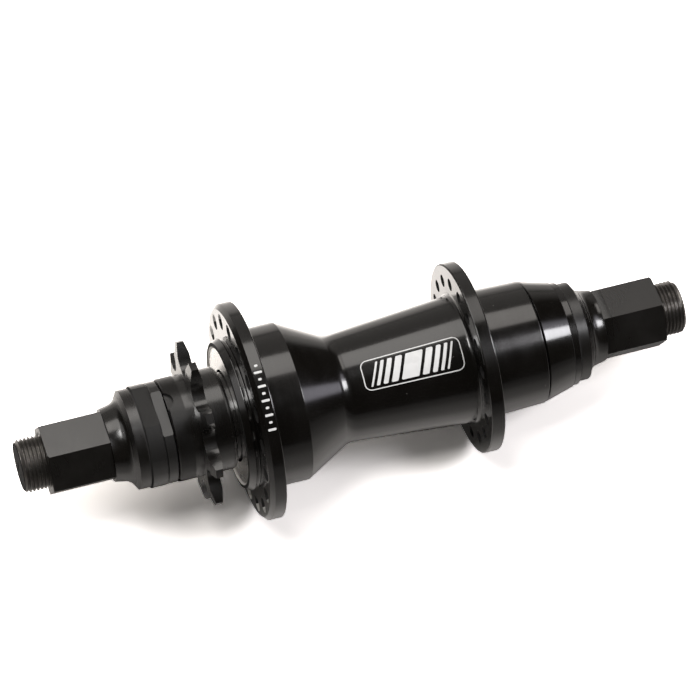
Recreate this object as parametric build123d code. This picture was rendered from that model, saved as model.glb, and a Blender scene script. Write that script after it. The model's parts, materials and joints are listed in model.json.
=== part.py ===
from build123d import *
import os
from math import cos, degrees, pi, radians, sin, sqrt, tan

# Cassette hub: a rear hub with a bolt-on axle, a nine-tooth driver and 36 spoke holes.
# The axle lies along X and the origin is at the middle of its length. The cog is at the -X end.
# Sizes are in millimetres. An angle about the axle starts at +Y and grows towards +Z.

# Axle
axle_length = 177.4
axle_thread_radius = 6.95
axle_body_radius = 7.5
axle_end_chamfer = 0.8
thread_gap = 0.03
seat_gap = 0.01

# Axle nuts: a hexagon with a flared foot and a flat rim
nut_across_flats = 17.0
nut_hex_length = 16.3
nut_foot_length = 8.5
nut_rim_width = 2.9
nut_rim_radius = 12.9
nut_rim_step = 0.15
nut_neck_radius = 9.45
nut_foot_knee_length = 1.7
nut_foot_knee_radius = 10.2
nut_foot_round = 3.0
nut_corner_chamfer = 0.35
nut_mouth_chamfer = 0.5
drive_nut_angle = 115.5
nondrive_nut_angle = 111.5

# Drive side: locknut and cone, each with one pair of wrench flats
drive_seat_x = -57.3
locknut_width = 4.3
locknut_radius = 13.3
locknut_flats = 23.2
locknut_flat_angle = 80.2
cone_rim_width = 2.7
cone_rim_radius = 13.2
cone_rim_flats = 23.2
cone_flat_angle = 95.5
cone_nose_radius = 8.4
ring_edge = 0.25

# Cartridge bearings: a thin pair in the driver, a larger pair in the shell
driver_bearing_radius = 10.5
driver_bearing_width = 4.0
shell_bearing_radius = 14.0
shell_bearing_width = 7.0
driver_race_wall = 1.05
shell_race_wall = 1.7
race_edge = 0.2
shield_thickness = 0.35
shield_inset = 0.15
shield_gap = 0.08

# Driver, cog and lockring
driver_end_gap = 0.3
lockring_width = 4.1
lockring_notch_count = 3
lockring_notch_radius = 2.7
lockring_notch_length = 1.9
lockring_notch_depth = 0.9
lockring_notch_angle = 84.5
driver_nose_recess = 0.3
driver_bearing_recess = 1.0
driver_nose_radius = 11.8
driver_radius = 13.4
driver_shoulder_width = 5.7
driver_shoulder_round = 1.2
driver_neck_radius = 11.5
driver_bore_radius = 8.8
spline_count = 3
spline_height = 0.6
spline_width = 4.0
spline_gap = 0.05
cog_teeth = 9
cog_pitch = 12.7
cog_roller_radius = 3.95
cog_seat_half_angle = 65.0
cog_tip_radius = 21.6
cog_tip_land = 2.6
cog_collar_width = 2.4
cog_width = 3.2
cog_tip_width = 1.8
cog_bevel_start = 3.2
cog_first_tooth_angle = -2.75

# Ratchet: 36 saw teeth in the shell, three pawls in the driver
ratchet_teeth = 36
ratchet_width = 6.6
ratchet_outer_radius = 17.2
ratchet_root_radius = 15.4
ratchet_tooth_height = 1.5
ratchet_recess = 1.4
pawl_count = 3
pawl_width = 5.4
pawl_side_gap = 0.1
pawl_pivot_radius = 11.5
pawl_heel_radius = 1.6
pawl_heel_gap = 0.05
pawl_reach_angle = 24.0
pawl_tip_gap = 0.3
pawl_tip_height = 2.4
pawl_face_gap_angle = 3.1
pawl_knee_angle = 1.6
pawl_knee_gap = 0.6
pawl_root_ahead = 1.2
pawl_root_drop = 1.05
pawl_swing = 12.5
pawl_tail_length = 2.6
pawl_tail_top = 1.2
pawl_tail_bottom = 0.6
pawl_first_angle = 90.0
pocket_gap = 0.25
carrier_radius = 13.4
spring_wire = 0.7
spring_gap_angle = 24.0
spring_cover = 0.2
spring_groove_play = 0.1
spring_slot_play = 0.2

# Shell
drive_flange_x = -28.6
flange_spacing = 59.4
drive_flange_width = 4.2
nondrive_flange_width = 3.6
drive_flange_radius = 28.4
nondrive_flange_radius = 25.1
drive_flange_bevel = 1.1
flange_edge_round = 0.35
flange_foot_round = 0.8
lip_length = 3.0
lip_mouth_radius = 19.1
lip_outer_radius = 20.1
lip_wall = 2.4
lip_mouth_chamfer = 0.5
lip_groove_width = 1.0
lip_groove_depth = 0.9
drum_radius = 20.7
drum_length = 9.2
taper_length = 12.3
waist_radius = 14.0
waist_round = 5.0
barrel_end_radius = 16.85
barrel_foot_round = 1.0
end_radius_inner = 16.7
end_radius_outer = 16.2
end_length = 15.1
end_edge_round = 0.3
shell_bore_radius = 10.9
shell_bearing_recess = 1.0
shell_mouth_radius = 14.6
driver_end_clearance = 0.8
seal_width = 1.9
seal_gap = 0.3
seal_running_gap = 0.2
seal_groove_depth = 0.5

# Spoke holes
spokes_per_flange = 18
drive_hole_circle = 48.6
nondrive_hole_circle = 41.4
spoke_hole_radius = 1.35
drive_countersink_radius = 2.1
nondrive_countersink_radius = 1.65
drive_first_hole_angle = 1.6
nondrive_first_hole_angle = 11.0

# Spacer tubes and the non-drive cone
spacer_outer_radius = 8.5
middle_spacer_length = 1.8
nondrive_end_gap = 0.3
nondrive_cone_length = 7.6
nondrive_cone_radius = 15.95
nondrive_cone_end_radius = 14.0
nondrive_land_length = 1.9
nondrive_land_radius = 13.6
nondrive_nose_radius = 9.1

# Stations along the axle, from the drive side to the other
locknut_inner_x = drive_seat_x + locknut_width
cone_inner_x = locknut_inner_x + cone_rim_width
driver_outer_x = cone_inner_x + driver_end_gap
driver_bearing_1_x = driver_outer_x + driver_bearing_recess
lockring_inner_x = driver_outer_x + lockring_width
cog_face_x = lockring_inner_x + cog_collar_width
cog_inner_x = cog_face_x + cog_width
shoulder_inner_x = cog_inner_x + driver_shoulder_width
drive_flange_face_x = drive_flange_x - drive_flange_width / 2
drive_flange_back_x = drive_flange_x + drive_flange_width / 2
nondrive_flange_face_x = drive_flange_x + flange_spacing - nondrive_flange_width / 2
nondrive_flange_back_x = nondrive_flange_face_x + nondrive_flange_width
lip_groove_x = drive_flange_face_x - lip_groove_width
lip_x = drive_flange_face_x - lip_length
waist_x = drive_flange_back_x + drum_length + taper_length
ratchet_x = drive_flange_face_x + ratchet_recess
ratchet_inner_x = ratchet_x + ratchet_width
seal_inner_x = ratchet_x - seal_gap
seal_x = seal_inner_x - seal_width
driver_bearing_2_x = ratchet_inner_x + driver_end_gap
driver_end_x = driver_bearing_2_x + driver_bearing_width
shell_bearing_1_x = driver_end_x + middle_spacer_length
shell_bearing_1_end_x = shell_bearing_1_x + shell_bearing_width
shell_end_x = nondrive_flange_back_x + end_length
shell_bearing_2_end_x = shell_end_x - shell_bearing_recess
shell_bearing_2_x = shell_bearing_2_end_x - shell_bearing_width
nondrive_cone_x = shell_end_x + nondrive_end_gap
nondrive_land_x = nondrive_cone_x + nondrive_cone_length
nondrive_seat_x = nondrive_land_x + nondrive_land_length

# Radii that pieces share
thread_bore_radius = axle_thread_radius + thread_gap
axle_bore_radius = axle_body_radius + seat_gap
lip_inner_radius = lip_outer_radius - lip_wall
lip_groove_radius = lip_outer_radius - lip_groove_depth
ratchet_tip_radius = ratchet_root_radius - ratchet_tooth_height
pawl_centre_x = ratchet_x + ratchet_width / 2


def point_at(radius, angle):
    """The Y and Z of a point at a radius and an angle about the axle."""
    return (radius * cos(radians(angle)), radius * sin(radians(angle)))


def outline(corners):
    """A closed outline. A corner is (x, y), or (x, y, radius) where it is rounded."""
    ends = []
    arcs = []
    for index, corner in enumerate(corners):
        here = Vector(corner[0], corner[1])
        before = Vector(*corners[index - 1][:2])
        after = Vector(*corners[(index + 1) % len(corners)][:2])
        radius = corner[2] if len(corner) > 2 else 0
        if radius == 0:
            ends.append((here, here))
            arcs.append(None)
            continue
        back = (before - here).normalized()
        ahead = (after - here).normalized()
        half = radians(back.get_angle(ahead)) / 2
        reach = radius / tan(half)
        centre = here + (back + ahead).normalized() * (radius / sin(half))
        middle = centre + (here - centre).normalized() * radius
        ends.append((here + back * reach, here + ahead * reach))
        arcs.append(middle)
    edges = []
    for index, (start, end) in enumerate(ends):
        if arcs[index] is not None:
            edges.append(ThreePointArc(start, arcs[index], end))
        following = ends[(index + 1) % len(ends)][0]
        edges.append(Line(end, following))
    return make_face(edges)


def turned(corners):
    """A solid turned about the axle from an outline of (x, radius) corners."""
    return revolve(outline(corners), Axis.X)


def ring(x_start, x_end, outer_radius, inner_radius, edge=0.0):
    """A plain ring on the axle, with its two outer edges chamfered."""
    corners = [(x_start, inner_radius), (x_start, outer_radius - edge)]
    if edge > 0:
        corners += [(x_start + edge, outer_radius), (x_end - edge, outer_radius)]
    corners += [(x_end, outer_radius - edge), (x_end, inner_radius)]
    return turned(corners)


def across(face, x_start, x_end):
    """A prism along the axle from an outline drawn in Y and Z."""
    placed = Plane(origin=(x_start, 0, 0), x_dir=(0, 1, 0), z_dir=(1, 0, 0)) * face
    return extrude(placed, amount=x_end - x_start)


def about_axle(shape, angle):
    """The shape turned about the axle."""
    return Rot(angle, 0, 0) * shape


def trim_flats(shape, x_start, x_end, across_flats, angle):
    """Cuts one pair of wrench flats into a round piece. The angle is that of a flat's middle."""
    reach = across_flats
    block = Box(x_end - x_start, reach, 2 * reach)
    for side in (0, 180):
        offset = across_flats / 2 + reach / 2
        placed = Pos((x_start + x_end) / 2, offset, 0) * block
        shape = shape - about_axle(placed, angle + side)
    return shape


def axle():
    """The solid axle: a ground middle for the bearings and a thread at each end."""
    end = axle_length / 2
    thread = axle_thread_radius
    chamfered = thread - axle_end_chamfer
    body_start = driver_bearing_1_x
    body_end = shell_bearing_2_end_x
    return turned([
        (-end, 0),
        (-end, chamfered),
        (-end + axle_end_chamfer, thread),
        (body_start, thread),
        (body_start, axle_body_radius),
        (body_end, axle_body_radius),
        (body_end, thread),
        (end - axle_end_chamfer, thread),
        (end, chamfered),
        (end, 0),
    ])


def axle_nut(seat_x, outward, hex_angle):
    """One axle nut. Outward is -1 on the drive side and 1 on the other."""
    hex_start = seat_x + outward * nut_foot_length
    hex_end = hex_start + outward * nut_hex_length
    corner_radius = nut_across_flats / sqrt(3)
    hexagon = Rot(0, 0, hex_angle) * RegularPolygon(radius=corner_radius, side_count=6)
    prism = across(hexagon, min(hex_start, hex_end), max(hex_start, hex_end))
    barrel = turned([
        (hex_start, 0),
        (hex_start, corner_radius),
        (hex_end - outward * nut_corner_chamfer, corner_radius),
        (hex_end, corner_radius - nut_corner_chamfer),
        (hex_end, 0),
    ])
    rim_x = seat_x + outward * nut_rim_width
    foot = turned([
        (seat_x, 0),
        (seat_x, nut_rim_radius),
        (rim_x, nut_rim_radius),
        (rim_x, nut_rim_radius - nut_rim_step),
        (rim_x + outward * nut_foot_knee_length, nut_foot_knee_radius, nut_foot_round),
        (hex_start, nut_neck_radius),
        (hex_start, 0),
    ])
    mouth = thread_bore_radius + nut_mouth_chamfer
    bore = turned([
        (seat_x, 0),
        (seat_x, mouth),
        (seat_x + outward * nut_mouth_chamfer, thread_bore_radius),
        (hex_end - outward * nut_mouth_chamfer, thread_bore_radius),
        (hex_end, mouth),
        (hex_end, 0),
    ])
    return (prism & barrel) + foot - bore


def drive_locknut():
    """The locknut that the nut's rim is tightened against."""
    blank = ring(drive_seat_x, locknut_inner_x, locknut_radius, thread_bore_radius, ring_edge)
    return trim_flats(blank, drive_seat_x, locknut_inner_x, locknut_flats, locknut_flat_angle)


def drive_cone():
    """The drive-side cone: a rim with wrench flats and a nose that holds the inner race."""
    blank = turned([
        (locknut_inner_x, thread_bore_radius),
        (locknut_inner_x, cone_rim_radius - ring_edge),
        (locknut_inner_x + ring_edge, cone_rim_radius),
        (cone_inner_x - ring_edge, cone_rim_radius),
        (cone_inner_x, cone_rim_radius - ring_edge),
        (cone_inner_x, cone_nose_radius),
        (driver_bearing_1_x, cone_nose_radius),
        (driver_bearing_1_x, thread_bore_radius),
    ])
    return trim_flats(blank, locknut_inner_x, cone_inner_x, cone_rim_flats, cone_flat_angle)


def nondrive_cone():
    """The long tapered cap of the other side, with a nose that holds the inner race."""
    return turned([
        (shell_bearing_2_end_x, thread_bore_radius),
        (shell_bearing_2_end_x, nondrive_nose_radius),
        (nondrive_cone_x, nondrive_nose_radius),
        (nondrive_cone_x, nondrive_cone_radius - ring_edge),
        (nondrive_cone_x + ring_edge, nondrive_cone_radius),
        (nondrive_land_x, nondrive_cone_end_radius),
        (nondrive_land_x, nondrive_land_radius),
        (nondrive_seat_x - ring_edge, nondrive_land_radius),
        (nondrive_seat_x, nondrive_land_radius - ring_edge),
        (nondrive_seat_x, thread_bore_radius),
    ])


def spacer(x_start, x_end):
    """A tube on the axle between two inner races."""
    return ring(x_start, x_end, spacer_outer_radius, axle_bore_radius, ring_edge)


def inner_race(x_start, width, wall):
    """The inner race of a cartridge bearing."""
    return ring(x_start, x_start + width, axle_body_radius + wall, axle_bore_radius)


def outer_race(x_start, width, outer_radius, wall):
    """The outer race of a cartridge bearing, with its outer edges broken."""
    return ring(x_start, x_start + width, outer_radius - seat_gap, outer_radius - wall, race_edge)


def shields(x_start, width, outer_radius, wall):
    """The two thin shields that close a bearing between its races."""
    outer = outer_radius - wall
    inner = axle_body_radius + wall + shield_gap
    first = x_start + shield_inset
    last = x_start + width - shield_inset
    near = ring(first, first + shield_thickness, outer, inner)
    far = ring(last - shield_thickness, last, outer, inner)
    return [near, far]


def cog_outline():
    """The toothed outline. Each flank is an arc that leaves its roller seat smoothly."""
    step = 360 / cog_teeth
    pitch_radius = cog_pitch / (2 * sin(pi / cog_teeth))
    seat_turn = radians(cog_seat_half_angle)
    seat_middle = (pitch_radius - cog_roller_radius, 0)
    seat_end = (
        pitch_radius - cog_roller_radius * cos(seat_turn),
        cog_roller_radius * sin(seat_turn),
    )
    land_angle = degrees(cog_tip_land / cog_tip_radius)
    tip_end = point_at(cog_tip_radius, (step - land_angle) / 2)
    tip_middle = point_at(cog_tip_radius, step / 2)
    next_tip = point_at(cog_tip_radius, (step + land_angle) / 2)
    flank = TangentArc(seat_end, tip_end, tangent=(sin(seat_turn), cos(seat_turn)))
    valley = [
        mirror(flank, Plane.XZ),
        ThreePointArc((seat_end[0], -seat_end[1]), seat_middle, seat_end),
        flank,
        ThreePointArc(tip_end, tip_middle, next_tip),
    ]
    edges = []
    for tooth in range(cog_teeth):
        turn = Rot(0, 0, cog_first_tooth_angle + step * (tooth + 0.5))
        edges += [turn * edge for edge in valley]
    return make_face(edges)


def spline_bars(x_start, x_end, extra):
    """The drive splines that key the cog to the driver, grown by a clearance."""
    height = driver_nose_radius + spline_height + extra
    bar = Pos((x_start + x_end) / 2, height / 2, 0) * Box(x_end - x_start, height, spline_width + 2 * extra)
    return [about_axle(bar, index * 360 / spline_count) for index in range(spline_count)]


def cog():
    """The cog with its collar, thinned towards the tooth tips."""
    teeth = across(cog_outline(), cog_face_x, cog_inner_x)
    bevel_radius = cog_tip_radius - cog_bevel_start
    thinning = (cog_width - cog_tip_width) / 2
    envelope = turned([
        (cog_face_x, 0),
        (cog_face_x, bevel_radius),
        (cog_face_x + thinning, cog_tip_radius + seat_gap),
        (cog_inner_x - thinning, cog_tip_radius + seat_gap),
        (cog_inner_x, bevel_radius),
        (cog_inner_x, 0),
    ])
    collar = ring(lockring_inner_x, cog_face_x, driver_radius, 0)
    bore = ring(lockring_inner_x, cog_inner_x, driver_nose_radius + seat_gap, 0)
    body = (teeth & envelope) + collar - bore
    return body - spline_bars(lockring_inner_x, cog_inner_x, spline_gap)


def driver_lockring():
    """The lockring that holds the cog on, with round spanner notches in its outer end."""
    bore_radius = driver_nose_radius + thread_gap
    blank = turned([
        (driver_outer_x, bore_radius),
        (driver_outer_x, driver_radius - ring_edge),
        (driver_outer_x + ring_edge, driver_radius),
        (lockring_inner_x, driver_radius),
        (lockring_inner_x, bore_radius),
    ])
    cutter = Rot(90, 0, 0) * Cylinder(lockring_notch_radius, 2 * lockring_notch_depth)
    cutter_x = driver_outer_x + lockring_notch_length - lockring_notch_radius
    notch = Pos(cutter_x, driver_radius, 0) * cutter
    for index in range(lockring_notch_count):
        blank = blank - about_axle(notch, lockring_notch_angle + index * 360 / lockring_notch_count)
    return blank


def pawl_turn(point, swing):
    """A point of the pawl's section after the pawl has tipped in about its pivot."""
    turn = radians(swing)
    across_pivot = point[0]
    above_pivot = point[1] - pawl_pivot_radius
    return (
        across_pivot * cos(turn) + above_pivot * sin(turn),
        pawl_pivot_radius - across_pivot * sin(turn) + above_pivot * cos(turn),
    )


def pawl_corners():
    """The pawl's section: distance ahead of the pivot, and height from the axle."""
    step = 360 / ratchet_teeth
    ramp_radius = ratchet_root_radius - ratchet_tooth_height * pawl_face_gap_angle / step
    tip_radius = ramp_radius - pawl_tip_gap
    tip_top = point_at(tip_radius, 90 - pawl_reach_angle)
    tip_foot = point_at(tip_radius - pawl_tip_height, 90 - pawl_reach_angle)
    knee_reach = pawl_reach_angle + pawl_face_gap_angle - step - pawl_knee_angle
    knee = point_at(ratchet_tip_radius - pawl_knee_gap, 90 - knee_reach)
    return [
        tip_top,
        tip_foot,
        (pawl_root_ahead, pawl_pivot_radius - pawl_root_drop),
        (0, pawl_pivot_radius - pawl_tail_bottom),
        (-pawl_tail_length, pawl_pivot_radius - pawl_tail_bottom),
        (-pawl_tail_length, pawl_pivot_radius + pawl_tail_top),
        (0, pawl_pivot_radius + pawl_heel_radius),
        knee,
    ]


def in_driver(face, x_start, x_end, angle):
    """A prism from a section drawn ahead of a radius, set at that radius's angle."""
    placed = Plane(origin=(x_start, 0, 0), x_dir=(0, -1, 0), z_dir=(-1, 0, 0)) * face
    prism = extrude(placed, amount=-(x_end - x_start))
    return about_axle(prism, angle - 90)


def spring_ring(play):
    """The wire ring that keeps the pawls out, or the groove for it, grown by a clearance."""
    middle = carrier_radius - spring_cover - spring_wire / 2
    half = spring_wire / 2 + play
    return ring(pawl_centre_x - half, pawl_centre_x + half, middle + half, middle - half)


def pawl(angle):
    """One pawl at rest, with its tip in the ratchet."""
    arm = make_face(Polyline(*pawl_corners(), close=True))
    heel = Pos(0, pawl_pivot_radius) * Circle(pawl_heel_radius)
    start = pawl_centre_x - pawl_width / 2
    end = pawl_centre_x + pawl_width / 2
    body = in_driver(arm + heel, start, end, angle)
    slot_half = spring_wire / 2 + pawl_side_gap
    slot_floor = carrier_radius - spring_cover - spring_wire - spring_slot_play
    tail_rise = pawl_tail_length * sin(radians(pawl_swing))
    slot = ring(pawl_centre_x - slot_half, pawl_centre_x + slot_half, ratchet_outer_radius, slot_floor)
    deep_slot = ring(
        pawl_centre_x - slot_half,
        pawl_centre_x + slot_half,
        ratchet_outer_radius,
        slot_floor - tail_rise,
    )
    tail_side = Pos(-pawl_tail_length, pawl_pivot_radius) * Rectangle(
        2 * pawl_tail_length, 2 * pawl_pivot_radius
    )
    return body - slot - (deep_slot & in_driver(tail_side, start, end, angle))


def pawl_pocket(angle):
    """The pocket a pawl drops into, with the round seat of its heel."""
    swung = [pawl_turn(point, pawl_swing) for point in pawl_corners()]
    top = ratchet_root_radius
    seat_radius = pawl_heel_radius + pawl_heel_gap
    floor = min(swung[1][1], swung[2][1]) - pocket_gap
    tail_floor = pawl_pivot_radius - pawl_tail_bottom - pocket_gap
    back = -pawl_tail_length - pocket_gap
    cut = make_face(Polyline(
        (back, top),
        (back, tail_floor),
        (0, tail_floor),
        (0, floor),
        (swung[1][0] + pocket_gap, floor),
        (swung[0][0] + pocket_gap, swung[0][1] - pocket_gap),
        (swung[0][0] + pocket_gap, top),
        close=True,
    ))
    seat = Pos(0, pawl_pivot_radius) * Circle(seat_radius)
    start = pawl_centre_x - pawl_width / 2 - pawl_side_gap
    end = pawl_centre_x + pawl_width / 2 + pawl_side_gap
    return in_driver(cut + seat, start, end, angle)


def driver_body():
    """The driver: nose for the cog, shoulder, neck, and the carrier that holds the pawls."""
    bearing_1_end = driver_bearing_1_x + driver_bearing_width
    blank = turned([
        (driver_outer_x + driver_nose_recess, driver_bearing_radius),
        (driver_outer_x + driver_nose_recess, driver_nose_radius),
        (cog_inner_x, driver_nose_radius),
        (cog_inner_x, driver_radius),
        (shoulder_inner_x, driver_radius, driver_shoulder_round),
        (shoulder_inner_x, driver_neck_radius),
        (ratchet_x, driver_neck_radius),
        (ratchet_x, carrier_radius - ring_edge),
        (ratchet_x + ring_edge, carrier_radius),
        (driver_end_x - ring_edge, carrier_radius),
        (driver_end_x, carrier_radius - ring_edge),
        (driver_end_x, driver_bearing_radius),
        (driver_bearing_2_x, driver_bearing_radius),
        (driver_bearing_2_x, driver_bore_radius),
        (bearing_1_end, driver_bore_radius),
        (bearing_1_end, driver_bearing_radius),
    ])
    hollow = ring(driver_outer_x, driver_end_x, driver_bore_radius, 0)
    for bar in spline_bars(lockring_inner_x, cog_inner_x, 0):
        core = ring(lockring_inner_x, cog_inner_x, driver_bearing_radius, 0)
        blank = blank + (bar - core)
    for index in range(pawl_count):
        blank = blank - pawl_pocket(pawl_first_angle + index * 360 / pawl_count)
    return blank - hollow - spring_ring(spring_groove_play)


def pawl_spring():
    """The open wire ring that lies round the carrier over the pawls' tails."""
    closed = spring_ring(0)
    half = radians(spring_gap_angle / 2)
    reach = 2 * carrier_radius
    wedge = make_face(Polyline((0, 0), (reach * cos(half), reach * sin(half)),
                               (reach * cos(half), -reach * sin(half)), close=True))
    opening = across(wedge, ratchet_x, ratchet_inner_x)
    return closed - about_axle(opening, pawl_first_angle + 180 / pawl_count)


def ratchet_ring():
    """The ring of saw teeth. The pawls push on each tooth's radial face."""
    step = 360 / ratchet_teeth
    first = pawl_first_angle + pawl_reach_angle + pawl_face_gap_angle
    points = []
    for tooth in range(ratchet_teeth):
        face_angle = first + tooth * step
        points.append(point_at(ratchet_root_radius, face_angle))
        points.append(point_at(ratchet_tip_radius, face_angle))
    teeth = across(make_face(Polyline(*points, close=True)), ratchet_x, ratchet_inner_x)
    return ring(ratchet_x, ratchet_inner_x, ratchet_outer_radius - seat_gap, 0) - teeth


def spoke_holes(face_x, back_x, circle, countersink_radius, first_angle):
    """The ring of spoke holes through one flange, countersunk on both faces."""
    depth = countersink_radius - spoke_hole_radius
    hole = revolve(make_face(Polyline(
        (face_x - seat_gap, 0),
        (face_x - seat_gap, countersink_radius + seat_gap),
        (face_x + depth, spoke_hole_radius),
        (back_x - depth, spoke_hole_radius),
        (back_x + seat_gap, countersink_radius + seat_gap),
        (back_x + seat_gap, 0),
        close=True,
    )), Axis.X)
    holes = []
    for index in range(spokes_per_flange):
        placed = Pos(0, circle / 2, 0) * hole
        holes.append(about_axle(placed, first_angle + index * 360 / spokes_per_flange))
    return holes


def hub_shell():
    """The shell in one turning, with the spoke holes drilled."""
    bore_clear = carrier_radius + driver_end_clearance
    blank = turned([
        (lip_x, lip_inner_radius + lip_mouth_chamfer),
        (lip_x, lip_mouth_radius, end_edge_round),
        (lip_groove_x, lip_outer_radius, end_edge_round),
        (lip_groove_x, lip_groove_radius),
        (drive_flange_face_x, lip_groove_radius, end_edge_round),
        (drive_flange_face_x, drive_flange_radius - drive_flange_bevel),
        (drive_flange_face_x + drive_flange_bevel, drive_flange_radius),
        (drive_flange_back_x, drive_flange_radius, flange_edge_round),
        (drive_flange_back_x, drum_radius, flange_foot_round),
        (waist_x - taper_length, drum_radius, end_edge_round),
        (waist_x, waist_radius, waist_round),
        (nondrive_flange_face_x, barrel_end_radius, barrel_foot_round),
        (nondrive_flange_face_x, nondrive_flange_radius, flange_edge_round),
        (nondrive_flange_back_x, nondrive_flange_radius, flange_edge_round),
        (nondrive_flange_back_x, end_radius_inner, flange_foot_round),
        (shell_end_x, end_radius_outer, end_edge_round),
        (shell_end_x, shell_mouth_radius),
        (shell_bearing_2_end_x, shell_mouth_radius),
        (shell_bearing_2_end_x, shell_bearing_radius),
        (shell_bearing_2_x, shell_bearing_radius),
        (shell_bearing_2_x, shell_bore_radius),
        (shell_bearing_1_end_x, shell_bore_radius),
        (shell_bearing_1_end_x, shell_bearing_radius),
        (shell_bearing_1_x, shell_bearing_radius),
        (shell_bearing_1_x, bore_clear),
        (ratchet_inner_x, bore_clear),
        (ratchet_inner_x, ratchet_outer_radius),
        (ratchet_x, ratchet_outer_radius),
        (ratchet_x, lip_inner_radius),
        (lip_x + lip_mouth_chamfer, lip_inner_radius),
    ])
    holes = spoke_holes(
        drive_flange_face_x,
        drive_flange_back_x,
        drive_hole_circle,
        drive_countersink_radius,
        drive_first_hole_angle,
    )
    holes += spoke_holes(
        nondrive_flange_face_x,
        nondrive_flange_back_x,
        nondrive_hole_circle,
        nondrive_countersink_radius,
        nondrive_first_hole_angle,
    )
    return blank - holes


def dust_seal():
    """The rubber seal in the lip, with a thin edge that runs round the driver's neck."""
    inner = driver_neck_radius + seal_running_gap
    middle = (seal_x + seal_inner_x) / 2
    web = (inner + lip_inner_radius) / 2
    return turned([
        (seal_x, lip_inner_radius - seat_gap),
        (seal_inner_x, lip_inner_radius - seat_gap),
        (seal_inner_x, web),
        (middle + seal_groove_depth, inner),
        (middle, inner),
        (seal_x + seal_groove_depth, web),
        (seal_x, web + seal_groove_depth),
    ])


def bearing(name, x_start, width, outer_radius, wall):
    """The races and shields of one bearing, as named pieces."""
    return {
        "inner_race_" + name: inner_race(x_start, width, wall),
        "outer_race_" + name: outer_race(x_start, width, outer_radius, wall),
        "shields_" + name: shields(x_start, width, outer_radius, wall),
    }


pieces = {
    "axle": axle(),
    "axle_nut_drive": axle_nut(drive_seat_x, -1, drive_nut_angle),
    "axle_nut_nondrive": axle_nut(nondrive_seat_x, 1, nondrive_nut_angle),
    "locknut_drive": drive_locknut(),
    "cone_drive": drive_cone(),
    "cone_nondrive": nondrive_cone(),
    "spacer_driver": spacer(driver_bearing_1_x + driver_bearing_width, driver_bearing_2_x),
    "spacer_middle": spacer(driver_end_x, shell_bearing_1_x),
    "spacer_shell": spacer(shell_bearing_1_end_x, shell_bearing_2_x),
    "driver_body": driver_body(),
    "cog": cog(),
    "driver_lockring": driver_lockring(),
    "pawl_spring": pawl_spring(),
    "ratchet_ring": ratchet_ring(),
    "hub_shell": hub_shell(),
    "dust_seal": dust_seal(),
}
pieces.update(bearing(
    "driver_outer", driver_bearing_1_x, driver_bearing_width, driver_bearing_radius, driver_race_wall
))
pieces.update(bearing(
    "driver_inner", driver_bearing_2_x, driver_bearing_width, driver_bearing_radius, driver_race_wall
))
pieces.update(bearing(
    "shell_drive", shell_bearing_1_x, shell_bearing_width, shell_bearing_radius, shell_race_wall
))
pieces.update(bearing(
    "shell_nondrive", shell_bearing_2_x, shell_bearing_width, shell_bearing_radius, shell_race_wall
))
for number in range(pawl_count):
    pieces[f"pawl_{number + 1}"] = pawl(pawl_first_angle + number * 360 / pawl_count)

os.makedirs("parts", exist_ok=True)
for name, shape in pieces.items():
    solids = []
    for item in shape if isinstance(shape, list) else [shape]:
        solids += item.solids()
    whole = solids[0] if len(solids) == 1 else Compound(children=solids)
    export_step(whole, f"parts/{name}.step")
    print(f"{name}: {len(solids)} solid, volume {sum(solid.volume for solid in solids):.0f} mm3")
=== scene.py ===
# %% [markdown]
# # A black rear hub, finished in Blender
#
# The hub comes from a CAD model: turned and milled pieces at their real size, already in place.
# This lesson gives each piece the surface it has on the workbench. It cuts the threads, prints the
# white marks, builds the finishes, and lights the hub as a small object is lit for a catalogue.
#
# Everything is in metres. The axle lies along X, the cog is at the -X end, and the origin is at
# the middle of the axle.

# %% Load the hub
import json
from math import atan2, cos, pi, radians, sin, sqrt, tan

import bmesh
import bpy
from mathutils import Matrix, Vector
from mathutils.bvhtree import BVHTree


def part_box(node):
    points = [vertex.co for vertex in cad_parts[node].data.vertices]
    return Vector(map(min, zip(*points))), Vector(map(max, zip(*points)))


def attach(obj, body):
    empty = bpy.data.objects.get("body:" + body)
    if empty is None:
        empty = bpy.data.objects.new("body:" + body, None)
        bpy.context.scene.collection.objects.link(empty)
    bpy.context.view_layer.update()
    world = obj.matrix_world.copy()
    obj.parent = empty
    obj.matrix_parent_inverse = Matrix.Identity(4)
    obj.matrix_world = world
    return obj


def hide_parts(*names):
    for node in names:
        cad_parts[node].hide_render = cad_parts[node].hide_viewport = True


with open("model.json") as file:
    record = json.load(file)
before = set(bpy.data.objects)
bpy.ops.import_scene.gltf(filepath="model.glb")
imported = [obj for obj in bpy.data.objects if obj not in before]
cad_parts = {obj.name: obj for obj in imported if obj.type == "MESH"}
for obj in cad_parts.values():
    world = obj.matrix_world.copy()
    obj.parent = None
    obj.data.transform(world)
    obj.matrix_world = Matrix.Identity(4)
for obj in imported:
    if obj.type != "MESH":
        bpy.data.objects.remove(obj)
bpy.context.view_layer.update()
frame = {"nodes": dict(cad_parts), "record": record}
nodes = frame["nodes"]
mm = 0.001
per_mm = 1000.0

# %% [markdown]
# ## The camera
#
# The camera looks down on the hub from the cog's side, about 61 degrees above the axle, and is
# rolled so that the axle climbs to the right. A long lens from one metre away keeps the two ends of
# the axle nearly the same size. Building the camera's matrix from its own three directions is
# surer than three Euler angles: one direction points at the lens, the other two span the picture.

# %% Camera
camera_side_turn = radians(11.30)
camera_roll = radians(13.66)
camera_height = radians(61.4)
camera_distance = 1050.2 * mm
camera_aim = Vector((1.25, 0, 0)) * mm
camera_rise = 8.97 * mm
picture_angle = radians(9.779)

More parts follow.
